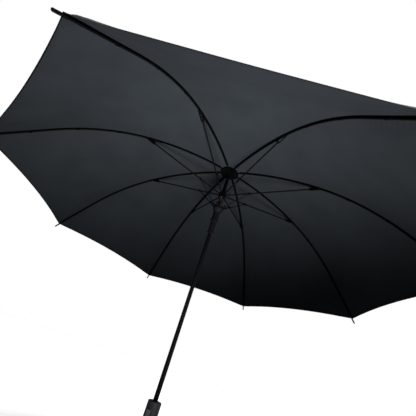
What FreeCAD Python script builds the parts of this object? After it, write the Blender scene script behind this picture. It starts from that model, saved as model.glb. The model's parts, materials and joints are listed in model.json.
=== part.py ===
import FreeCAD, Part
import math
import os

from FreeCAD import Placement, Rotation, Vector

# Golf umbrella, standing open on the flat end of its handle.
# The origin is the middle of the handle's bottom face and +Z runs up the shaft.
# Each spoke is drawn in the XZ plane with the crown hinge level at z = 0, and is then
# turned about Z and lifted to the crown.

document = FreeCAD.newDocument("GolfUmbrella")

DRIVING_SIZES = [
    ("crown_height", 935.0),
    ("shaft_radius", 6.0),
    ("shaft_bore_radius", 4.8),
    ("running_gap", 0.1),
    ("hinge_circle_radius", 10.0),
    ("hinge_wire_radius", 0.6),
    ("hinge_hole_radius", 1.05),
    ("eye_radius", 2.5),
    ("eye_thickness", 3.0),
    ("slot_width", 3.7),
    ("rod_radius", 2.0),
    ("inner_bend_radius", 906.0),
    ("inner_arc_length", 307.5),
    ("outer_bend_radius", 648.0),
    ("outer_arc_length", 277.5),
    ("outer_straight_length", 157.0),
    ("flex_offset", 14.0),
    ("bracket_radius", 2.9),
    ("bracket_reach", 40.0),
    ("joint_pin_radius", 1.35),
    ("tip_radius", 2.6),
    ("tip_overhang", 15.0),
    ("stretcher_rod_radius", 2.2),
    ("fork_reach", 25.0),
    ("link_share", 0.28),
    ("link_circle_radius", 14.5),
    ("link_drop", 53.2),
    ("link_wire_radius", 0.8),
    ("canopy_gap", 1.7),
    ("cloth_thickness", 0.8),
    ("seam_gap", 0.4),
    ("hem_scallop", 10.0),
    ("canopy_hole_radius", 12.5),
    ("runner_length", 104.0),
    ("ferrule_radius", 5.0),
    ("ferrule_length", 30.0),
    ("handle_radius", 15.0),
    ("collar_radius", 17.0),
    ("handle_top", 210.0),
    ("collar_bottom", 150.0),
    ("end_cap_height", 12.0),
    ("core_radius", 10.5),
    ("cup_radius", 11.4),
    ("cup_depth", 14.0),
    ("button_height", 185.0),
]

sheet = document.addObject("Spreadsheet::Sheet", "Sizes")
for row, (alias, number) in enumerate(DRIVING_SIZES, start=1):
    sheet.set(f"A{row}", alias)
    sheet.set(f"B{row}", str(number))
    sheet.setAlias(f"B{row}", alias)
document.recompute()
size = {alias: float(sheet.get(alias)) for alias, number in DRIVING_SIZES}

RIBS = 8
RIB_ANGLE = 360.0 / RIBS
OUT = Vector(1, 0, 0)
ALONG = Vector(0, 1, 0)
UP = Vector(0, 0, 1)

crown_height = size["crown_height"]
hinge_radius = size["hinge_circle_radius"]
inner_bend = size["inner_bend_radius"]
outer_bend = size["outer_bend_radius"]
inner_arc = size["inner_arc_length"] / inner_bend
outer_arc = size["outer_arc_length"] / outer_bend
full_arc = inner_arc + outer_arc
flex_arc = inner_arc + size["flex_offset"] / outer_bend


# ---------------------------------------------------------------- rib outline

def polar(centre, radius, angle):
    """A point on a rib arc; the angle is measured from straight up towards outwards."""
    return centre + Vector(radius * math.sin(angle), 0, radius * math.cos(angle))


inner_centre = Vector(hinge_radius, 0, -inner_bend)
joint = polar(inner_centre, inner_bend, inner_arc)
outer_centre = polar(joint, -outer_bend, inner_arc)
arc_end = polar(outer_centre, outer_bend, full_arc)
straight_way = Vector(math.cos(full_arc), 0, -math.sin(full_arc))
cloth_corner = arc_end + straight_way * size["outer_straight_length"]
flex_point = polar(outer_centre, outer_bend, flex_arc)

# The stretcher is as long as the rib's chord, so the runner hinge sits twice as far down
# as the joint and stays on the hinge circle while the umbrella folds.
stretcher_length = (joint - Vector(hinge_radius, 0, 0)).Length
runner_hinge = Vector(hinge_radius, 0, 2 * joint.z)
stretcher_slope = math.degrees(math.atan2(joint.z - runner_hinge.z, joint.x - hinge_radius))
link_top = runner_hinge + (joint - runner_hinge) * size["link_share"]
link_foot = Vector(size["link_circle_radius"], 0, runner_hinge.z - size["link_drop"])
link_length = (link_top - link_foot).Length
link_slope = math.degrees(math.atan2(link_top.z - link_foot.z, link_top.x - link_foot.x))


# ---------------------------------------------------------------- small helpers

def bind(item, sizes):
    """Tie properties of an object to the spreadsheet."""
    for key, text in sizes.items():
        if isinstance(text, (int, float)):
            setattr(item, key, text)
        else:
            for alias in size:
                text = text.replace(f"<{alias}>", f"Sizes.{alias}")
            item.setExpression(key, text)
    return item


def turned(axis):
    """The rotation that lays a shape's own Z along an axis."""
    return Rotation(UP, axis)


def cylinder(radius, height, at, axis=UP):
    """A round bar that starts at a point and runs along an axis."""
    item = document.addObject("Part::Cylinder", "Cylinder")
    item.Placement = Placement(at, turned(axis))
    return bind(item, {"Radius": radius, "Height": height})


def pin(radius, length, at):
    """A round bar across the spoke, centred on a point."""
    reach = float(length) if isinstance(length, (int, float)) else size[length.strip("<>")]
    return cylinder(radius, length, at - ALONG * reach / 2, ALONG)


def cone(bottom_radius, top_radius, height, at):
    """A frustum that stands on a point."""
    item = document.addObject("Part::Cone", "Cone")
    item.Placement = Placement(at, Rotation())
    return bind(item, {"Radius1": bottom_radius, "Radius2": top_radius, "Height": height})


def box(low, high):
    """A block between two opposite corners."""
    item = document.addObject("Part::Box", "Box")
    item.Length = high.x - low.x
    item.Width = high.y - low.y
    item.Height = high.z - low.z
    item.Placement = Placement(low, Rotation())
    return item


def ball(radius, at):
    """A sphere about a point."""
    item = document.addObject("Part::Sphere", "Ball")
    item.Placement = Placement(at, Rotation())
    return bind(item, {"Radius": radius})


def ring(radius, wire, at):
    """A round wire bent into a circle about Z."""
    item = document.addObject("Part::Torus", "Ring")
    item.Placement = Placement(at, Rotation())
    return bind(item, {"Radius1": radius, "Radius2": wire})


def bent_rod(bend, rod, centre, start, end):
    """A rod along a rib arc, between two angles measured from straight up."""
    item = document.addObject("Part::Torus", "BentRod")
    first = Vector(math.sin(start), 0, math.cos(start))
    tangent = Vector(math.cos(start), 0, -math.sin(start))
    item.Placement = Placement(centre, Rotation(first, tangent, ALONG, "XYZ"))
    item.Angle3 = math.degrees(end - start)
    return bind(item, {"Radius1": bend, "Radius2": rod})


def fuse(*items):
    """Several shapes joined into one solid."""
    item = document.addObject("Part::MultiFuse", "Fuse")
    item.Shapes = list(items)
    return item


def cut(base, *tools):
    """A shape with other shapes taken out of it."""
    item = document.addObject("Part::Cut", "Cut")
    item.Base = base
    item.Tool = tools[0] if len(tools) == 1 else fuse(*tools)
    return item


def spokes(low, high):
    """A block repeated once for each rib around the axis."""
    blocks = []
    for number in range(RIBS):
        block = box(low, high)
        turn = Placement(Vector(), Rotation(UP, RIB_ANGLE * number))
        block.Placement = turn.multiply(block.Placement)
        blocks.append(block)
    return blocks


def tube(outer, inner, bottom, top):
    """A hollow cylinder about the axis; either radius may be a bound size."""
    body = cylinder(outer, top - bottom, Vector(0, 0, bottom))
    hole = cylinder(inner, top - bottom + 2, Vector(0, 0, bottom - 1))
    return cut(body, hole)


def coil(mean_radius, wire_radius, bottom, top, turns, out=None):
    """A round-wire coil spring along an axis."""
    helix = Part.makeHelix((top - bottom) / turns, top - bottom, mean_radius)
    start = Vector(mean_radius, 0, 0)
    profile = Part.Wire(Part.makeCircle(wire_radius, start, ALONG))
    shape = Part.Wire(helix).makePipeShell([profile], True, True)
    item = document.addObject("Part::Feature", "Coil")
    item.Shape = shape
    item.Placement = Placement(Vector(0, 0, bottom), Rotation())
    if out is not None:
        item.Placement = Placement(out, turned(OUT))
    return item


nodes = []


def name_node(item, label, angle=0.0, lift=crown_height):
    """Give a finished piece its name and stand it in its place on the umbrella."""
    item.Label = label
    place = Placement(Vector(0, 0, lift), Rotation(UP, angle))
    item.Placement = place.multiply(item.Placement)
    nodes.append(item)
    return item


# ---------------------------------------------------------------- spokes

def rib_inner(label, angle):
    """The steel inner rib: hinge eye, bent rod and the bracket that carries the joint pin."""
    hinge = Vector(hinge_radius, 0, 0)
    half = size["eye_thickness"] / 2
    eye = pin("<eye_radius>", "<eye_thickness>", hinge)
    tab = box(hinge + Vector(0, -half, -2), hinge + Vector(11, half, 2))
    rod = bent_rod("<inner_bend_radius>", "<rod_radius>", inner_centre, 9 / inner_bend, inner_arc)
    before = inner_arc - size["bracket_reach"] / inner_bend
    after = inner_arc + 11 / outer_bend
    bracket = bent_rod("<inner_bend_radius>", "<bracket_radius>", inner_centre, before, inner_arc)
    socket = bent_rod("<outer_bend_radius>", "<bracket_radius>", outer_centre, inner_arc, after)
    cross_pin = pin("<joint_pin_radius>", 10.8, joint)
    left_head = cylinder(2.0, 0.8, joint - ALONG * 5.4, ALONG)
    right_head = cylinder(2.0, 0.8, joint + ALONG * 4.6, ALONG)
    body = fuse(eye, tab, rod, bracket, socket, cross_pin, left_head, right_head)
    hole = pin("<hinge_hole_radius>", 6.0, hinge)
    name_node(cut(body, hole), label, angle)


def rib_outer(label, angle):
    """The springy outer rib with its moulded tip, round ended where it meets the bracket."""
    knuckle = pin("<rod_radius>", 3.0, flex_point)
    bent = bent_rod("<outer_bend_radius>", "<rod_radius>", outer_centre, flex_arc, full_arc)
    straight = cylinder("<rod_radius>", "<outer_straight_length>", arc_end, straight_way)
    tip_start = cloth_corner - straight_way * 6
    tip = cylinder("<tip_radius>", "<tip_overhang> + 6", tip_start, straight_way)
    end = ball("<tip_radius>", cloth_corner + straight_way * size["tip_overhang"])
    name_node(fuse(knuckle, bent, straight, tip, end), label, angle)


def stretcher(label, angle):
    """The long strut from the upper slider to the rib joint, forked round the bracket."""
    half = size["eye_thickness"] / 2
    far = Vector(stretcher_length, 0, 0)
    middle = Vector(stretcher_length * size["link_share"], 0, 0)
    eye = pin("<eye_radius>", "<eye_thickness>", Vector())
    tab = box(Vector(0, -half, -1.5), Vector(12, half, 1.5))
    fork = far - OUT * size["fork_reach"]
    rod = cylinder("<stretcher_rod_radius>", fork.x - 11, Vector(9, 0, 0), OUT)
    boss = box(middle - Vector(4, 2.25, 3.2), middle + Vector(4, 2.25, 3.2))
    rivet = pin(2.0, 4.6, middle)
    yoke = box(fork - Vector(4, 4.25, 2), fork + Vector(1.5, 4.25, 2))
    parts = [eye, tab, rod, boss, rivet, yoke]
    for side in (-4.25, 3.25):
        plate = box(fork + Vector(0, side, -2.6), far + Vector(0, side + 1, 2.6))
        lug = cylinder(2.6, 1.0, far + ALONG * side, ALONG)
        parts += [plate, lug]
    eye_hole = pin("<hinge_hole_radius>", 6.0, Vector())
    lug_hole = pin("<joint_pin_radius> + <running_gap>", 12.0, far)
    body = cut(fuse(*parts), eye_hole, lug_hole)
    body.Placement = Placement(runner_hinge, Rotation(ALONG, -stretcher_slope))
    name_node(body, label, angle)


def link(label, angle):
    """The short twin-wire strut from the lower runner to the stretcher."""
    far = Vector(link_length, 0, 0)
    eye = pin("<eye_radius>", "<eye_thickness>", Vector())
    tab = box(Vector(0, -1.5, -1.4), Vector(7, 1.5, 1.4))
    block = box(Vector(6, -4.5, -1.4), Vector(13, 4.5, 1.4))
    parts = [eye, tab, block]
    for side in (-1, 1):
        start = Vector(12, side * 3.55, 0)
        parts.append(cylinder("<link_wire_radius>", link_length - 12, start, OUT))
        parts.append(cylinder(2.0, 1.8, far + ALONG * (side * 3.55 - 0.9), ALONG))
    body = cut(fuse(*parts), pin("<hinge_hole_radius>", 6.0, Vector()))
    body.Placement = Placement(link_foot, Rotation(ALONG, -link_slope))
    name_node(body, label, angle)


# ---------------------------------------------------------------- canopy

def cloth_line(offset):
    """The canopy's line down the middle of a gore, a set distance above the rib line."""
    shrink = math.cos(math.radians(RIB_ANGLE / 2))
    points = []
    for step in range(25):
        angle = inner_arc * step / 24
        points.append(polar(inner_centre, inner_bend + offset, angle))
    for step in range(1, 17):
        angle = inner_arc + outer_arc * step / 16
        points.append(polar(outer_centre, outer_bend + offset, angle))
    lift = Vector(math.sin(full_arc), 0, math.cos(full_arc)) * offset
    points.append(arc_end + lift + straight_way * size["outer_straight_length"] * 0.5)
    points.append(cloth_corner + lift)
    points.append(cloth_corner + lift + straight_way * 20)
    return [Vector(point.x * shrink, -800, point.z) for point in points]


def cloth_strip():
    """A long curved strip of cloth, straight across the gore and as thick as the cloth."""
    low = size["rod_radius"] + size["canopy_gap"]
    under = Part.BSplineCurve()
    under.interpolate(cloth_line(low))
    over = Part.BSplineCurve()
    over.interpolate(cloth_line(low + size["cloth_thickness"]))
    ends = [
        Part.makeLine(under.EndPoint, over.EndPoint),
        Part.makeLine(over.StartPoint, under.StartPoint),
    ]
    outline = Part.Wire([under.toShape(), ends[0], over.toShape(), ends[1]])
    return Part.Face(outline).extrude(Vector(0, 1600, 0))


def gore_pattern():
    """The gore seen from above: two seams, a small hole at the crown and a scalloped hem."""
    half = math.radians(RIB_ANGLE / 2)
    gap = size["seam_gap"] / 2
    hem = cloth_corner.x
    inner = size["canopy_hole_radius"]

    def seam_point(radius, side):
        along = Vector(radius * math.cos(half), side * radius * math.sin(half), 0)
        inwards = Vector(math.sin(half), -side * math.cos(half), 0) * gap
        return along + inwards

    corners = [seam_point(inner, -1), seam_point(hem, -1), seam_point(hem, 1), seam_point(inner, 1)]
    dip = Vector(hem * math.cos(half) - size["hem_scallop"], 0, 0)
    throat = Vector(inner, 0, 0)
    edges = [
        Part.makeLine(corners[0], corners[1]),
        Part.Arc(corners[1], dip, corners[2]).toShape(),
        Part.makeLine(corners[2], corners[3]),
        Part.Arc(corners[3], throat, corners[0]).toShape(),
    ]
    face = Part.Face(Part.Wire(edges))
    face.translate(Vector(0, 0, -600))
    return face.extrude(Vector(0, 0, 700))


def canopy_gores():
    """Eight cloth gores, each laid straight across between two neighbouring ribs."""
    strip = document.addObject("Part::Feature", "ClothStrip")
    strip.Shape = cloth_strip()
    pattern = document.addObject("Part::Feature", "GorePattern")
    pattern.Shape = gore_pattern()
    for number in range(RIBS):
        gore = document.addObject("Part::MultiCommon", "Gore")
        gore.Shapes = [strip, pattern]
        angle = RIB_ANGLE * (number + 0.5)
        name_node(gore, f"canopy_gore_{number + 1}", angle)


# ---------------------------------------------------------------- crown and shaft

def shaft():
    """The hollow steel shaft with its cross hole and the slots for the catch."""
    bottom = size["end_cap_height"]
    top = crown_height + 12
    body = tube("<shaft_radius>", "<shaft_bore_radius>", bottom, top)
    stop_hole = pin(1.25, 20.0, Vector(0, 0, stop_height()))
    press = size["button_height"]
    button_hole = box(Vector(3, -2, press - 4), Vector(8, 2, press + 4))
    catch_slot = box(Vector(3, -2, press + 11), Vector(8, 2, press + 25))
    name_node(cut(body, stop_hole, button_hole, catch_slot), "shaft", lift=0.0)


def stop_height():
    """Height of the pin that stops the upper slider when the umbrella is open."""
    return crown_height + runner_hinge.z + 16 + 0.4 + 1.25


def crown_hub():
    """The notched crown wheel that the ribs hinge in, with its round top plate."""
    body = tube(13.2, "<shaft_radius>", -7, 3.1)
    plate = tube(12.0, "<shaft_radius>", 3.1, 6)
    half = size["slot_width"] / 2
    slots = spokes(Vector(7.2, -half, -8), Vector(14, half, 3.1))
    groove = ring("<hinge_circle_radius>", "<hinge_wire_radius>", Vector())
    name_node(cut(fuse(body, plate), *slots, groove), "crown_hub")


def crown_wire():
    """The ring of wire that threads the eight rib eyes."""
    name_node(ring("<hinge_circle_radius>", "<hinge_wire_radius>", Vector()), "crown_hinge_wire")


def crown_cap():
    """The weather cap that covers the hole where the gores meet."""
    rim = cylinder("<collar_radius>", 1.2, Vector(0, 0, 6))
    dome = cone("<collar_radius>", 8.0, 4.8, Vector(0, 0, 7.2))
    bore = cylinder("<shaft_radius>", 8.0, Vector(0, 0, 5))
    name_node(cut(fuse(rim, dome), bore), "crown_cap")


def ferrule():
    """The solid spike on top, with a spigot pressed into the shaft."""
    spigot = cylinder("<shaft_bore_radius> - 0.05", 20.0, Vector(0, 0, -8))
    shoulder = cone(6.5, "<ferrule_radius>", 18.0, Vector(0, 0, 12))
    spike = cylinder("<ferrule_radius>", "<ferrule_length>", Vector(0, 0, 30))
    end = ball("<ferrule_radius>", Vector(0, 0, 30 + size["ferrule_length"]))
    name_node(fuse(spigot, shoulder, spike, end), "ferrule")


def stop_pin():
    """The cross pin that the upper slider stops against."""
    name_node(pin(1.25, 16.0, Vector(0, 0, stop_height())), "slider_stop_pin", lift=0.0)


# ---------------------------------------------------------------- sliders

def upper_slider():
    """The notched slider that carries the eight stretchers."""
    bore = "<shaft_radius> + <running_gap>"
    level = runner_hinge.z
    sleeve = cylinder(7.0, 46.0, Vector(0, 0, level - 30))
    collar = cylinder(13.2, 18.0, Vector(0, 0, level - 10))
    hole = cylinder(bore, 50.0, Vector(0, 0, level - 32))
    half = size["slot_width"] / 2
    slots = spokes(Vector(7.25, -half, level - 11), Vector(14, half, level + 9))
    groove = ring("<hinge_circle_radius>", "<hinge_wire_radius>", Vector(0, 0, level))
    name_node(cut(fuse(sleeve, collar), hole, *slots, groove), "upper_slider")
    wire = ring("<hinge_circle_radius>", "<hinge_wire_radius>", Vector(0, 0, level))
    name_node(wire, "slider_hinge_wire")


def lower_runner():
    """The hand runner: notched ring, cone and tube, with its hinge wire."""
    level = link_foot.z
    rim = cylinder(17.0, 12.5, Vector(0, 0, level - 9))
    shoulder = cone(10.8, 17.0, 13.0, Vector(0, 0, level - 22))
    grip = cylinder(10.8, 30.0, Vector(0, 0, level - 50))
    bore = cylinder("<shaft_radius> + <running_gap>", 60.0, Vector(0, 0, level - 52))
    pocket = cylinder(9.1, 26.0, Vector(0, 0, level - 18))
    half = size["slot_width"] / 2
    slots = spokes(Vector(11.7, -half, level - 6), Vector(18, half, level + 8))
    groove = ring("<link_circle_radius>", "<hinge_wire_radius>", Vector(0, 0, level))
    body = cut(fuse(rim, shoulder, grip), bore, pocket, *slots, groove)
    name_node(body, "lower_runner")
    wire = ring("<link_circle_radius>", "<hinge_wire_radius>", Vector(0, 0, level))
    name_node(wire, "runner_hinge_wire")


def runner_sleeve():
    """The slim sleeve below the runner, with two collars and the notch for the catch."""
    top = link_foot.z - 50
    bottom = link_foot.z - size["runner_length"]
    stop = cylinder(12.5, 10.0, Vector(0, 0, top - 10))
    slim = cylinder(9.2, top - bottom - 10, Vector(0, 0, bottom))
    end = cylinder(10.8, 6.0, Vector(0, 0, bottom))
    bore = cylinder("<shaft_radius> + <running_gap>", 60.0, Vector(0, 0, bottom - 1))
    notch = box(Vector(5, -2.4, bottom - 1), Vector(12, 2.4, bottom + 8))
    name_node(cut(fuse(stop, slim, end), bore, notch), "runner_sleeve")


def main_spring():
    """The opening spring between the upper slider and the lower runner."""
    top = runner_hinge.z - 10 - 0.9
    bottom = link_foot.z - 18 + 0.9
    name_node(coil(8.1, 0.55, bottom, top, 11), "main_spring")


# ---------------------------------------------------------------- handle

def handle_core():
    """The plastic core that joins the handle to the shaft."""
    core = cylinder("<core_radius>", "<collar_bottom> - 4", Vector(0, 0, 4))
    bore = cylinder("<shaft_radius>", 200.0, Vector(0, 0, size["end_cap_height"]))
    name_node(cut(core, bore), "handle_core", lift=0.0)


def handle_grip():
    """The straight round foam grip."""
    bottom = size["end_cap_height"]
    top = size["collar_bottom"]
    grip = tube("<handle_radius>", "<core_radius>", bottom, top)
    name_node(grip, "handle_grip", lift=0.0)


def handle_end_cap():
    """The flat-bottomed cap that closes the handle."""
    foot = cone("<handle_radius> - 1.5", "<handle_radius>", 1.5, Vector())
    wall = cylinder("<handle_radius>", "<end_cap_height> - 1.5", Vector(0, 0, 1.5))
    bore = cylinder("<core_radius>", 20.0, Vector(0, 0, 4))
    name_node(cut(fuse(foot, wall), bore), "handle_end_cap", lift=0.0)


def handle_collar():
    """The collar on top of the grip: cup for the runner and pocket for the button."""
    bottom = size["collar_bottom"]
    top = size["handle_top"]
    press = size["button_height"]
    root = cone("<handle_radius>", "<collar_radius>", 8.0, Vector(0, 0, bottom))
    body = cylinder("<collar_radius>", top - bottom - 10, Vector(0, 0, bottom + 8))
    brim = cone("<collar_radius>", "<collar_radius> - 2", 2.0, Vector(0, 0, top - 2))
    bore = cylinder("<shaft_radius>", 80.0, Vector(0, 0, bottom - 1))
    cup = cylinder("<cup_radius>", 20.0, Vector(0, 0, top - size["cup_depth"]))
    window = box(Vector(12, -4.8, press - 7.3), Vector(20, 4.8, press + 7.3))
    cavity = box(Vector(7.2, -6.4, press - 9.4), Vector(13, 6.4, press + 9.4))
    passage = box(Vector(5, -2, press - 4), Vector(9, 2, press + 4))
    body = cut(fuse(root, body, brim), bore, cup, window, cavity, passage)
    name_node(body, "handle_collar", lift=0.0)


def release_button():
    """The push button with its retaining flange and nose, and the spring behind it."""
    press = size["button_height"]
    head = box(Vector(11.2, -4.5, press - 7), Vector(19, 4.5, press + 7))
    flange = box(Vector(11.2, -6, press - 9), Vector(12.7, 6, press + 9))
    nose = cylinder(1.4, 4.5, Vector(7.2, 0, press), OUT)
    name_node(fuse(head, flange, nose), "release_button", lift=0.0)
    spring = coil(2.6, 0.3, 0, 3.2, 2.5, out=Vector(7.6, 0, press))
    name_node(spring, "button_spring", lift=0.0)


def runner_catch():
    """The leaf inside the shaft whose upper bump holds the closed runner."""
    press = size["button_height"]
    leaf = box(Vector(2.6, -1.5, press - 15), Vector(4, 1.5, press + 22))
    lower = box(Vector(3.9, -1.5, press - 2), Vector(6.8, 1.5, press + 2))
    upper = box(Vector(3.9, -1.5, press + 13), Vector(7.8, 1.5, press + 21))
    name_node(fuse(leaf, lower, upper), "runner_catch", lift=0.0)


# ---------------------------------------------------------------- build and save

shaft()
crown_hub()
crown_wire()
crown_cap()
ferrule()
stop_pin()
handle_core()
handle_grip()
handle_end_cap()
handle_collar()
release_button()
runner_catch()
upper_slider()
lower_runner()
runner_sleeve()
main_spring()
for number in range(RIBS):
    azimuth = RIB_ANGLE * number
    rib_inner(f"rib_inner_{number + 1}", azimuth)
    rib_outer(f"rib_outer_{number + 1}", azimuth)
    stretcher(f"stretcher_{number + 1}", azimuth)
    link(f"link_{number + 1}", azimuth)
canopy_gores()

document.recompute()
for item in document.Objects:
    if "Invalid" in item.State or "Error" in item.State:
        raise RuntimeError(f"{item.Label} did not compute: {item.State}")

os.makedirs("parts", exist_ok=True)
for item in nodes:
    if item.Shape.isNull() or not item.Shape.isValid():
        raise RuntimeError(f"{item.Label} has no valid shape")
    item.Shape.exportStep(f"parts/{item.Label}.step")
    print(f"{item.Label}: {len(item.Shape.Solids)} solid, {item.Shape.Volume / 1000:.2f} cm3")
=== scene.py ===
import json
import math

import bpy
from mathutils import Matrix, Vector


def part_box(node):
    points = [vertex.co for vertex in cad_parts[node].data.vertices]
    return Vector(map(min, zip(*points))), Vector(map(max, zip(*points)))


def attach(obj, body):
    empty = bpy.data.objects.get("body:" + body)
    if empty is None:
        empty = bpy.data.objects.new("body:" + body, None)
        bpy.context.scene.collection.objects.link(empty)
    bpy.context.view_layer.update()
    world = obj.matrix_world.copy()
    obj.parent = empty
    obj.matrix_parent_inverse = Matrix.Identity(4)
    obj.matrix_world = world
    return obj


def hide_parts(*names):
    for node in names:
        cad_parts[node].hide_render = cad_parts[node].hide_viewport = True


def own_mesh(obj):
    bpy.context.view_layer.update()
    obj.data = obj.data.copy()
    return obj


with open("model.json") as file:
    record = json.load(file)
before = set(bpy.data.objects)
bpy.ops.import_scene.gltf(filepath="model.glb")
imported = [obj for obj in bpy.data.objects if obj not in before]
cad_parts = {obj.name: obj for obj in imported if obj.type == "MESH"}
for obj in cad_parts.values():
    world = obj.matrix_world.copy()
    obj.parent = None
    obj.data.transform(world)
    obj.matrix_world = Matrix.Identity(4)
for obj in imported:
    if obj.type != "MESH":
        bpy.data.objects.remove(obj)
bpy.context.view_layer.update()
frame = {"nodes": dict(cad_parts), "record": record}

# A large black golf umbrella, seen open from below.

RIBS = 8
RIB_STEP = 2 * math.pi / RIBS
HALF_STEP = RIB_STEP / 2
MM = 0.001

joints = {joint["name"]: joint for joint in frame["record"]["behaviour"]["joints"]}
crown_hinge = Vector(joints["rib_1_fold"]["pos_m"])
rib_joint = Vector(joints["stretcher_1_fold"]["pos_m"])

# The rib line is two arcs and a straight end, worked out from the hinge and joint places.
chord = rib_joint - crown_hinge
INNER_ARC = 2 * math.atan2(-chord.z, chord.x)
INNER_BEND = chord.length / (2 * math.sin(INNER_ARC / 2))
OUTER_BEND = 0.648
OUTER_ARC = 0.2775 / OUTER_BEND
STRAIGHT = 0.157
FULL_ARC = INNER_ARC + OUTER_ARC
INNER_LENGTH = INNER_BEND * INNER_ARC
OUTER_LENGTH = OUTER_BEND * OUTER_ARC
CLOTH_LENGTH = INNER_LENGTH + OUTER_LENGTH + STRAIGHT
FLEX_PLACE = INNER_LENGTH + 0.014

# The cloth, its hem and its seams.
CLOTH_LIFT = 4.0 * MM
CLOTH_THICKNESS = 0.3 * MM
CROWN_HOLE = 12.6 * MM
HEM_SCALLOP = 10.0 * MM
HEM_WIDTH = 8.0 * MM
HEM_FOLD = 0.4 * MM
HEM_EDGE = 2.0 * MM
SEAM_RIDGE = 0.6 * MM
SEAM_WIDTH = 4.0 * MM
CREASE_HEIGHT = 3.4 * MM
CREASE_REACH = 190 * MM
CREASE_START = 25 * MM
CREASE_FOLDS = 11

# The seam tape, the ties round the ribs and the rosette under the crown.
TAPE_START = 30 * MM
TAPE_HALF_WIDTH = 4.6 * MM
TAPE_DROP = 0.55 * MM
TAPE_DROOP = 0.48 * MM
TIE_PLACES = (0.150, 0.262, 0.400, 0.520, 0.640)
TIE_WIDTH = 9 * MM
TIE_RADIUS = 2.75 * MM
ROSETTE_INNER = 13.8 * MM
ROSETTE_OUTER = 34.0 * MM
ROSETTE_DROP = 4.6 * MM
ROSETTE_RUFFLE = 0.9 * MM

# The foam grip.
GRIP_WALL = 4.4 * MM
GRIP_ROUNDING = 2.5 * MM
GROOVE_DEPTH = 0.9 * MM
GROOVE_SPACING = 6 * MM
GROOVE_FIRST = 8 * MM
GROOVE_LAST = 38 * MM

# The viewpoint, below the rim and looking up past the shaft.
SENSOR_WIDTH = 36.0
CAMERA_LENS = 23.8794
CAMERA_PLACE = Vector((0.7429, 0.3376, crown_hinge.z - 0.6394))
CAMERA_FORWARD = Vector((-0.77435, -0.39058, 0.49783))
CAMERA_UP = Vector((0.56814, -0.08281, 0.81875))


# ---------------------------------------------------------------- places on the umbrella

def rib_point(place, lift=0.0):
    """Radius, height and slope of the rib line at a distance along it, lifted off it."""
    if place <= INNER_LENGTH:
        angle = place / INNER_BEND
        radius = crown_hinge.x + INNER_BEND * math.sin(angle)
        height = crown_hinge.z - INNER_BEND * (1 - math.cos(angle))
    else:
        past = min(place - INNER_LENGTH, OUTER_LENGTH)
        angle = INNER_ARC + past / OUTER_BEND
        radius = rib_joint.x + OUTER_BEND * (math.sin(angle) - math.sin(INNER_ARC))
        height = rib_joint.z - OUTER_BEND * (math.cos(INNER_ARC) - math.cos(angle))
        straight = max(0.0, place - INNER_LENGTH - OUTER_LENGTH)
        radius += straight * math.cos(angle)
        height -= straight * math.sin(angle)
    return radius + lift * math.sin(angle), height + lift * math.cos(angle), angle


def spin(point, angle):
    """Turn a point about the shaft."""
    c, s = math.cos(angle), math.sin(angle)
    return Vector((point.x * c - point.y * s, point.x * s + point.y * c, point.z))


def spread(low, high, steps):
    """Evenly spaced values from low to high, both ends included."""
    return [low + (high - low) * step / steps for step in range(steps + 1)]


# ---------------------------------------------------------------- mesh helpers

def mesh_object(name, points, faces, material, smooth=True):
    """A mesh object from points and faces, with one material."""
    mesh = bpy.data.meshes.new(name)
    mesh.from_pydata([tuple(point) for point in points], [], faces)
    mesh.materials.append(material)
    for face in mesh.polygons:
        face.use_smooth = smooth
    mesh.update()
    item = bpy.data.objects.new(name, mesh)
    bpy.context.scene.collection.objects.link(item)
    return item


def grid_faces(rows, columns, closed=False):
    """Quads between rows of points; closed joins the last column to the first."""
    faces = []
    last = columns if closed else columns - 1
    for row in range(rows - 1):
        for column in range(last):
            after = (column + 1) % columns
            low = row * columns
            high = low + columns
            faces.append((low + column, low + after, high + after, high + column))
    return faces


def lathe(name, profile, material, segments=64):
    """A shape turned about the shaft from (radius, height) pairs."""
    points = []
    for radius, height in profile:
        for step in range(segments):
            points.append(spin(Vector((radius, 0, height)), 2 * math.pi * step / segments))
    return mesh_object(name, points, grid_faces(len(profile), segments, closed=True), material)


def two_faced(name, under, over, rows, columns, inside, outside):
    """A thin sheet with an under face, an over face and a rim between them."""
    count = len(under)
    lower = []
    upper = []
    for a, b, c, d in grid_faces(rows, columns):
        lower += [(c, b, a), (d, c, a)]
        upper += [(a + count, b + count, c + count), (a + count, c + count, d + count)]
    last = (rows - 1) * columns
    border = list(range(columns))
    border += [row * columns + columns - 1 for row in range(1, rows)]
    border += [last + column for column in range(columns - 2, -1, -1)]
    border += [row * columns for row in range(rows - 2, 0, -1)]
    rim = []
    for here, after in zip(border, border[1:] + border[:1]):
        rim.append((here, after, after + count, here + count))
    item = mesh_object(name, under + over, lower + upper + rim, inside)
    item.data.materials.append(outside)
    for index, face in enumerate(item.data.polygons):
        face.material_index = 0 if index < len(lower) else 1
    turning = set(border) | {index + count for index in border}
    for edge in item.data.edges:
        edge.use_edge_sharp = set(edge.vertices) <= turning
    return item, sum(item.data.polygons[index].area for index in range(len(lower)))


def set_uv(item, pairs):
    """Store one pair of measures in metres for each point, for the materials to read."""
    layer = item.data.uv_layers.new(name="cloth")
    for loop in item.data.loops:
        layer.data[loop.index].uv = pairs[loop.vertex_index]


# ---------------------------------------------------------------- materials

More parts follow.
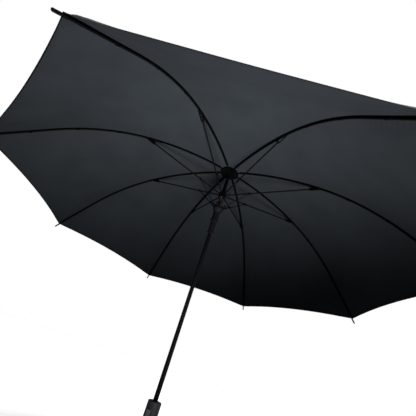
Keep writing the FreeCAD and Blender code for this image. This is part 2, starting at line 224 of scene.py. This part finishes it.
class Shader:
    """A small wrapper that builds a node material step by step."""

    def __init__(self, name, color, roughness, specular=0.3, metallic=0.0):
        self.material = bpy.data.materials.new(name)
        self.material.use_nodes = True
        self.tree = self.material.node_tree
        self.surface = self.tree.nodes["Principled BSDF"]
        self.surface.inputs["Base Color"].default_value = (*color, 1)
        self.surface.inputs["Roughness"].default_value = roughness
        self.surface.inputs["Specular IOR Level"].default_value = specular
        self.surface.inputs["Metallic"].default_value = metallic
        self.normal = None

    def node(self, kind, **values):
        """Add a node and set its plain input values."""
        item = self.tree.nodes.new(kind)
        for key, value in values.items():
            if key in item.inputs:
                item.inputs[key].default_value = value
            else:
                setattr(item, key, value)
        return item

    def wire(self, source, target):
        """Join an output socket to an input socket."""
        self.tree.links.new(source, target)

    def coordinates(self, kind="Object"):
        """Object-space or stored cloth coordinates."""
        return self.node("ShaderNodeTexCoord").outputs[kind]

    def noise(self, scale, detail=4.0, where="Object"):
        """A noise pattern."""
        item = self.node("ShaderNodeTexNoise", Scale=scale, Detail=detail)
        self.wire(self.coordinates(where), item.inputs["Vector"])
        return item.outputs["Fac"]

    def wave(self, scale, where, direction, distortion=0.0):
        """A sine pattern across one direction."""
        item = self.node("ShaderNodeTexWave", Scale=scale, Distortion=distortion)
        item.bands_direction = direction
        self.wire(self.coordinates(where), item.inputs["Vector"])
        return item.outputs["Fac"]

    def remap(self, value, low, high, start=0.0, end=1.0):
        """Map a range of one value to another range, clamped."""
        item = self.node("ShaderNodeMapRange")
        item.inputs["From Min"].default_value = low
        item.inputs["From Max"].default_value = high
        item.inputs["To Min"].default_value = start
        item.inputs["To Max"].default_value = end
        self.wire(value, item.inputs["Value"])
        return item.outputs["Result"]

    def maths(self, operation, first, second):
        """Combine two values; the second may be a number."""
        item = self.node("ShaderNodeMath", operation=operation)
        self.wire(first, item.inputs[0])
        if isinstance(second, float):
            item.inputs[1].default_value = second
        else:
            self.wire(second, item.inputs[1])
        return item.outputs[0]

    def bump(self, height, distance, strength=1.0):
        """Stack a bump onto the surface."""
        item = self.node("ShaderNodeBump", Strength=strength, Distance=distance)
        self.wire(height, item.inputs["Height"])
        if self.normal is not None:
            self.wire(self.normal, item.inputs["Normal"])
        self.normal = item.outputs["Normal"]
        self.wire(self.normal, self.surface.inputs["Normal"])

    def tint(self, value, dark, light):
        """Colour the surface from dark to light by a value."""
        item = self.node("ShaderNodeMix", data_type="RGBA")
        colours = [socket for socket in item.inputs if socket.type == "RGBA"]
        colours[0].default_value = (*dark, 1)
        colours[1].default_value = (*light, 1)
        self.wire(value, item.inputs["Factor"])
        output = [socket for socket in item.outputs if socket.type == "RGBA"][0]
        self.wire(output, self.surface.inputs["Base Color"])

    def rough(self, value, low, high):
        """Vary the roughness by a value."""
        self.wire(self.remap(value, 0.3, 0.7, low, high), self.surface.inputs["Roughness"])


def cloth_material(name, dark, light, specular, roughness):
    """Woven polyester with puckered seams, a stitched hem that turns to the dark colour along
    its edge, and soft creases.
    """
    shader = Shader(name, light, roughness, specular=specular)
    split = shader.node("ShaderNodeSeparateXYZ")
    shader.wire(shader.coordinates("UV"), split.inputs[0])
    seam = split.outputs["X"]
    hem = split.outputs["Y"]
    mottle = shader.remap(shader.noise(9.0, 3.0), 0.3, 0.7, 0.8, 1.0)
    # The cloth takes the dark colour within 2 mm of the hem edge, blending to the light colour
    # by 4 mm.
    edge = shader.remap(hem, HEM_EDGE, 2 * HEM_EDGE)
    shader.tint(shader.maths("MULTIPLY", mottle, edge), dark, light)
    shader.bump(shader.noise(14.0, 2.0), 0.0012)
    near_seam = shader.remap(seam, 0.0, 0.035, 1.0, 0.0)
    pucker = shader.maths("MULTIPLY", shader.wave(26.0, "UV", "Y", 1.5), near_seam)
    shader.bump(pucker, 0.0003)
    near_hem = shader.remap(hem, 0.0, 0.03, 1.0, 0.0)
    ripple = shader.maths("MULTIPLY", shader.wave(20.0, "UV", "X", 1.0), near_hem)
    shader.bump(ripple, 0.0004)
    weave_a = shader.wave(900.0, "UV", "X")
    weave_b = shader.wave(900.0, "UV", "Y")
    shader.bump(shader.maths("MULTIPLY", weave_a, weave_b), 0.00004, 0.5)
    return shader.material


def shaded_tape_material():
    """The doubled seam allowance with its row of stitches, near-black and far darker than the
    cloth it is cut from: painted shade along the ribs and round the crown.
    """
    shader = Shader("seam tape with painted shade", (0.0003, 0.0003, 0.0003), 0.9, specular=0.001)
    stitch = shader.wave(110.0, "UV", "Y")
    shader.tint(stitch, (0.00008, 0.00008, 0.00009), (0.00030, 0.00030, 0.00034))
    shader.bump(stitch, 0.0003)
    return shader.material


def lacquer_material(name, color, roughness, specular):
    """Thin black lacquer on steel, with faint draw marks."""
    shader = Shader(name, color, roughness, specular=specular)
    dull = tuple(channel * 0.7 for channel in color)
    shader.tint(shader.noise(60.0, 5.0), dull, color)
    shader.rough(shader.noise(140.0, 3.0), roughness * 0.85, roughness * 1.2)
    shader.bump(shader.noise(420.0, 2.0), 0.00006)
    return shader.material


def fibre_material():
    """Black glass-fibre rod with a fine lengthwise grain."""
    shader = Shader("glass fibre", (0.0004, 0.0004, 0.00045), 0.6, specular=0.006)
    shader.tint(shader.noise(160.0, 6.0), (0.0001, 0.0001, 0.0001), (0.0004, 0.0004, 0.00045))
    shader.bump(shader.noise(700.0, 3.0), 0.00008)
    return shader.material


def plastic_material(name, color, roughness, specular=0.03):
    """Moulded plastic with a fine spark-eroded texture."""
    shader = Shader(name, color, roughness, specular=specular)
    dull = tuple(channel * 0.75 for channel in color)
    shader.tint(shader.noise(35.0, 3.0), dull, color)
    shader.rough(shader.noise(90.0, 4.0), roughness * 0.85, roughness * 1.15)
    shader.bump(shader.noise(900.0, 2.0), 0.0001)
    return shader.material


def foam_material():
    """Closed-cell foam rubber: tiny pits over a soft mottle."""
    shader = Shader("foam grip", (0.008, 0.008, 0.0085), 0.9, specular=0.1)
    shader.tint(shader.noise(50.0, 5.0), (0.006, 0.006, 0.0065), (0.012, 0.012, 0.0125))
    cells = shader.node("ShaderNodeTexVoronoi", Scale=900.0)
    shader.wire(shader.coordinates(), cells.inputs["Vector"])
    shader.bump(cells.outputs["Distance"], 0.00025)
    return shader.material


def spring_wire_material():
    """Drawn spring wire, darkened by oil."""
    shader = Shader("spring wire", (0.02, 0.02, 0.02), 0.5, specular=0.5, metallic=1.0)
    shader.tint(shader.noise(220.0, 4.0), (0.008, 0.008, 0.009), (0.022, 0.022, 0.024))
    shader.bump(shader.noise(900.0, 2.0), 0.00004)
    return shader.material


# The inside face is a much darker copy of the cloth on the outside face: painted shade for the
# underside of the canopy.
shaded_cloth_inside = cloth_material(
    "cloth inside painted shade", (0.0002, 0.0002, 0.0003), (0.0021, 0.0025, 0.0029), 0.01, 0.85
)
cloth_outside = cloth_material(
    "cloth outside", (0.0020, 0.0020, 0.0022), (0.0056, 0.0060, 0.0067), 0.16, 0.5
)
# The tape colour, used for the seam tape, the ties and the rosette, is partly painted shade: far
# darker than the cloth they are made of.
tape = shaded_tape_material()
rib_black = lacquer_material("rib lacquer", (0.0002, 0.0002, 0.00022), 0.6, 0.004)
link_grey = lacquer_material("link lacquer", (0.0003, 0.0003, 0.00034), 0.6, 0.005)
shaft_black = lacquer_material("shaft lacquer", (0.0003, 0.0003, 0.0004), 0.5, 0.01)
fibre = fibre_material()
hub_plastic = plastic_material("hub plastic", (0.0002, 0.0002, 0.0002), 0.7, 0.004)
runner_plastic = plastic_material("runner plastic", (0.0005, 0.0006, 0.0007), 0.55, 0.012)
handle_plastic = plastic_material("handle plastic", (0.006, 0.006, 0.0065), 0.4)
button_plastic = plastic_material("button plastic", (0.025, 0.025, 0.027), 0.35)
foam = foam_material()
spring_wire = spring_wire_material()


# ---------------------------------------------------------------- CAD pieces

def paint_frame():
    """Give every CAD piece its material."""
    paints = {
        "rib_inner": rib_black,
        "rib_outer": fibre,
        "stretcher": rib_black,
        "link": link_grey,
        "canopy": cloth_outside,
        "shaft": shaft_black,
        "crown_hub": hub_plastic,
        "crown_cap": hub_plastic,
        "ferrule": handle_plastic,
        "upper_slider": hub_plastic,
        "lower_runner": runner_plastic,
        "runner_sleeve": runner_plastic,
        "handle_grip": foam,
        "handle": handle_plastic,
        "release_button": button_plastic,
    }
    for name, item in frame["nodes"].items():
        paint = next((paints[key] for key in paints if name.startswith(key)), spring_wire)
        item.data.materials.clear()
        item.data.materials.append(paint)


# ---------------------------------------------------------------- canopy

def hem_place(across):
    """How far along the rib line the cloth ends, with the hem's scallop between ribs."""
    return CLOTH_LENGTH - HEM_SCALLOP / math.cos(FULL_ARC) * (1 - across * across)


def crease(place, across):
    """How far the cloth puckers near its corner: small folds that fan out from the rib tip."""
    radius = rib_point(place)[0]
    sideways = (1 - abs(across)) * radius * math.sin(HALF_STEP)
    inwards = CLOTH_LENGTH - place
    reach = math.hypot(sideways, inwards)
    fan = math.atan2(sideways, inwards + 1e-6)
    fade = max(0.0, 1 - reach / CREASE_REACH) ** 2 * min(1.0, reach / CREASE_START)
    return CREASE_HEIGHT * fade * math.sin(CREASE_FOLDS * fan) * math.sin(fan)


def cloth_point(number, place, across, lift=CLOTH_LIFT):
    """A point of gore `number`; across runs from -1 at its first rib to 1 at its second."""
    radius, height = rib_point(place, lift + crease(place, across))[:2]
    flat = Vector((radius * math.cos(HALF_STEP), across * radius * math.sin(HALF_STEP), height))
    return spin(flat, RIB_STEP * (number + 0.5))


def fold_axis(rib, side):
    """The direction in the cloth, square to the rib at its joint."""
    slope = rib_point(FLEX_PLACE)[2]
    along = Vector((math.cos(slope), 0, -math.sin(slope)))
    across = Vector((-math.sin(HALF_STEP), side * math.cos(HALF_STEP), 0))
    square = across - along * across.dot(along)
    return spin(square.normalized(), RIB_STEP * rib)


def row_places(first, last, hemmed):
    """Places of the mesh rows from the inner end to the outer, closer together at a hem."""
    if not hemmed:
        return spread(first, last, 34)
    return spread(first, last - HEM_WIDTH - 1 * MM, 46) + spread(last - HEM_WIDTH, last, 3)


def half_gore(number, side, outer):
    """Half of one gore, inside or outside the rib joint, on the side of one of its ribs."""
    rib = number if side < 0 else (number + 1) % RIBS
    first = FLEX_PLACE if outer else CROWN_HOLE - crown_hinge.x
    columns = 30
    under = []
    over = []
    measures = []
    table = []
    for column in range(columns + 1):
        across = side * (1 - (column / columns) ** 1.4)
        last = hem_place(across) if outer else FLEX_PLACE
        table.append((across, last, row_places(first, last, outer)))
    rows = len(table[0][2])
    for row in range(rows):
        for across, last, places in table:
            place = places[row]
            folded = outer and last - place < HEM_WIDTH + 0.1 * MM
            drop = HEM_FOLD if folded else 0.0
            under.append(cloth_point(number, place, across, CLOTH_LIFT - drop))
            width = (1 - abs(across)) * rib_point(place)[0] * math.sin(HALF_STEP)
            ridge = SEAM_RIDGE * math.exp(-(width / SEAM_WIDTH) ** 2)
            over.append(cloth_point(number, place, across, CLOTH_LIFT + CLOTH_THICKNESS + ridge))
            measures.append((width, hem_place(across) - place))
    zone = "outer" if outer else "inner"
    hand = "a" if side < 0 else "b"
    name = f"cloth_{zone}_{number + 1}{hand}"
    item, area = two_faced(name, under, over, rows, columns + 1, shaded_cloth_inside, cloth_outside)
    set_uv(item, measures + measures)
    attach(item, f"{zone}_rib_{rib + 1}")
    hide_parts(f"canopy_gore_{number + 1}")
    fold_axis(rib, -side)
    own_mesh(item)
    end = CLOTH_LENGTH if outer else FLEX_PLACE
    width = rib_point(end)[0] * math.sin(HALF_STEP)


def seam_tape(rib, outer):
    """The doubled seam allowance under the cloth, along a rib."""
    first = FLEX_PLACE if outer else TAPE_START
    last = CLOTH_LENGTH - 4 * MM if outer else FLEX_PLACE
    rows = 60
    points = []
    measures = []
    for place in spread(first, last, rows):
        for across in (-1, 0, 1):
            drop = TAPE_DROP + TAPE_DROOP * abs(across)
            radius, height = rib_point(place, CLOTH_LIFT - drop)[:2]
            radius -= abs(across) * TAPE_HALF_WIDTH * math.tan(HALF_STEP)
            point = Vector((radius, across * TAPE_HALF_WIDTH, height))
            points.append(spin(point, RIB_STEP * rib))
            measures.append(((across + 1) * TAPE_HALF_WIDTH, place))
    zone = "outer" if outer else "inner"
    item = mesh_object(f"seam_tape_{zone}_{rib + 1}", points, grid_faces(rows + 1, 3), tape)
    set_uv(item, measures)
    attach(item, f"{zone}_rib_{rib + 1}")


def rib_tie(rib, place):
    """A band of cloth sewn to the seam and wrapped round the rib."""
    centre_radius, centre_height, slope = rib_point(place)
    along = Vector((math.cos(slope), 0, -math.sin(slope)))
    square = Vector((math.sin(slope), 0, math.cos(slope)))
    centre = Vector((centre_radius, 0, centre_height))
    points = []
    measures = []
    steps = 16
    for shift in (-0.5, -0.42, 0.42, 0.5):
        reach = TIE_RADIUS * (0.82 if abs(shift) == 0.5 else 1.0)
        for step in range(steps):
            turn = 2 * math.pi * step / steps
            point = centre + along * (shift * TIE_WIDTH)
            point += square * (math.cos(turn) * reach + 0.25 * MM)
            point += Vector((0, math.sin(turn) * reach, 0))
            points.append(spin(point, RIB_STEP * rib))
            measures.append((step * MM, shift * TIE_WIDTH))
    faces = grid_faces(4, steps, closed=True)
    item = mesh_object(f"rib_tie_{rib + 1}_{round(place / MM)}", points, faces, tape)
    set_uv(item, measures)
    zone = "outer" if place > FLEX_PLACE else "inner"
    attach(item, f"{zone}_rib_{rib + 1}")


def rosette_point(radius, angle, lift=0.0):
    """A point of the cloth rosette below the crown, ruffled three times for each rib."""
    spread_out = (radius - ROSETTE_INNER) / (ROSETTE_OUTER - ROSETTE_INNER)
    ruffle = ROSETTE_RUFFLE * spread_out * math.cos(3 * RIBS * angle)
    height = crown_hinge.z - ROSETTE_DROP + ROSETTE_RUFFLE * spread_out + ruffle + lift
    return spin(Vector((radius, 0, height)), angle)


def rosette_half(rib, side):
    """The half eighth of the rosette beside one rib, carried by its inner rib."""
    steps = 12
    rows = spread(ROSETTE_INNER, ROSETTE_OUTER, 9)
    under = []
    over = []
    measures = []
    for radius in rows:
        for step in range(steps + 1):
            turn = side * HALF_STEP * step / steps
            under.append(spin(rosette_point(radius, turn), RIB_STEP * rib))
            over.append(spin(rosette_point(radius, turn, CLOTH_THICKNESS), RIB_STEP * rib))
            measures.append((radius, turn * radius))
    hand = "a" if side < 0 else "b"
    name = f"rosette_{rib + 1}{hand}"
    # Both faces take the near-black tape colour, which paints shade round the crown.
    item, area = two_faced(name, under, over, len(rows), steps + 1, tape, tape)
    set_uv(item, measures + measures)
    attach(item, f"inner_rib_{rib + 1}")
    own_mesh(item)


def build_canopy():
    """All eight gores with their seams, ties and rosette."""
    for number in range(RIBS):
        for outer in (False, True):
            half_gore(number, -1, outer)
            half_gore(number, 1, outer)
        seam_tape(number, False)
        seam_tape(number, True)
        rosette_half(number, -1)
        rosette_half(number, 1)
        for place in TIE_PLACES:
            rib_tie(number, place)


# ---------------------------------------------------------------- handle

def foam_grip():
    """The foam grip: rounded ends and a band of shallow finger grooves near each end."""
    low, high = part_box("handle_grip")
    radius = high[0]
    profile = [(radius - GRIP_WALL, low[2])]
    for height in spread(low[2], high[2], 220):
        edge = min(height - low[2], high[2] - height)
        corner = max(0.0, GRIP_ROUNDING - edge)
        reach = radius - GRIP_ROUNDING + math.sqrt(GRIP_ROUNDING ** 2 - corner ** 2)
        if GROOVE_FIRST < edge < GROOVE_LAST:
            turn = 2 * math.pi * (edge - GROOVE_FIRST) / GROOVE_SPACING
            reach -= GROOVE_DEPTH * max(0.0, math.cos(turn)) ** 3
        profile.append((reach, height))
    profile.append((radius - GRIP_WALL, high[2]))
    grip = lathe("foam_grip", profile, foam)
    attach(grip, "stick")
    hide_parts("handle_grip")


# ---------------------------------------------------------------- springs

def coil_tube(name, centre, axis, radius, wire, length, turns):
    """A round-wire coil spring mesh that starts at centre and runs along the axis."""
    side = axis.orthogonal().normalized()
    other = axis.cross(side)
    steps = round(turns * 32)
    ring = 10
    points = []
    for step in range(steps + 1):
        turn = 2 * math.pi * turns * step / steps
        outwards = side * math.cos(turn) + other * math.sin(turn)
        middle = centre + axis * (length * step / steps) + outwards * radius
        for corner in range(ring):
            angle = 2 * math.pi * corner / ring
            round_wire = outwards * (wire * math.cos(angle)) + axis * (wire * math.sin(angle))
            points.append(middle + round_wire)
    faces = grid_faces(steps + 1, ring, closed=True)
    faces.append(tuple(range(ring - 1, -1, -1)))
    faces.append(tuple(range(steps * ring, steps * ring + ring)))
    return mesh_object(name, points, faces, spring_wire)


def working_spring(node, body, axis, wire, turns):
    """A coil in place of a CAD spring, carried by the given body."""
    low, high = (Vector(corner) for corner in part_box(node))
    sideways = Vector((axis.y + axis.z, axis.x, 0))
    length = (high - low).dot(axis)
    radius = (high - low).dot(sideways) / 2 - wire
    middle = (low + high) / 2
    start = middle - axis * (length / 2 - wire)
    coil = coil_tube(f"{node}_coil", start, axis, radius, wire, length - 2 * wire, turns)
    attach(coil, body)
    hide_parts(node)
    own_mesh(coil)


# ---------------------------------------------------------------- stage, light and camera

def area_light(name, place, target, size, power):
    """A square studio light aimed at a point."""
    data = bpy.data.lights.new(name, "AREA")
    data.shape = "SQUARE"
    data.size = size
    data.energy = power
    item = bpy.data.objects.new(name, data)
    item.location = place
    item.rotation_euler = (Vector(target) - Vector(place)).to_track_quat("-Z", "Y").to_euler()
    bpy.context.scene.collection.objects.link(item)
    return item


def build_stage():
    """A pale floor and an even white surround."""
    floor_material = bpy.data.materials.new("floor")
    floor_material.use_nodes = True
    floor_surface = floor_material.node_tree.nodes["Principled BSDF"]
    floor_surface.inputs["Base Color"].default_value = (0.99, 0.99, 0.99, 1)
    floor_surface.inputs["Roughness"].default_value = 0.9
    reach = 14.0
    corners = [(-reach, -reach, 0), (reach, -reach, 0), (reach, reach, 0), (-reach, reach, 0)]
    floor = mesh_object("floor", corners, [(0, 1, 2, 3)], floor_material, smooth=False)
    world = bpy.data.worlds.new("studio")
    world.use_nodes = True
    world.node_tree.nodes["Background"].inputs["Color"].default_value = (1, 1, 1, 1)
    world.node_tree.nodes["Background"].inputs["Strength"].default_value = 1.0
    bpy.context.scene.world = world
    bpy.context.scene.view_settings.view_transform = "Standard"
    bpy.context.scene.view_settings.look = "None"


def build_lights():
    """A soft light on the floor aimed up at the near gores, and a wide one overhead."""
    key = area_light("key", (0.302, 0.341, 0.06), (0.253, -0.033, 0.865), 0.3, 50.0)
    key.data.spread = math.radians(95)
    area_light("overhead", (0, 0, 4.0), (0, 0, 0), 3.0, 120.0)


def build_camera():
    """The camera, below the rim and looking up past the shaft."""
    data = bpy.data.cameras.new("camera")
    data.sensor_width = SENSOR_WIDTH
    data.lens = CAMERA_LENS
    data.clip_start = 0.01
    item = bpy.data.objects.new("camera", data)
    forward = CAMERA_FORWARD.normalized()
    right = forward.cross(CAMERA_UP).normalized()
    up = right.cross(forward)
    turn = Matrix((right, up, -forward)).transposed().to_4x4()
    item.matrix_world = Matrix.Translation(CAMERA_PLACE) @ turn
    bpy.context.scene.collection.objects.link(item)
    bpy.context.scene.camera = item


paint_frame()
build_canopy()
foam_grip()
working_spring("main_spring", "slider", Vector((0, 0, 1)), 0.55 * MM, 11)
working_spring("button_spring", "button", Vector((1, 0, 0)), 0.3 * MM, 2.5)
build_stage()
build_lights()
build_camera()
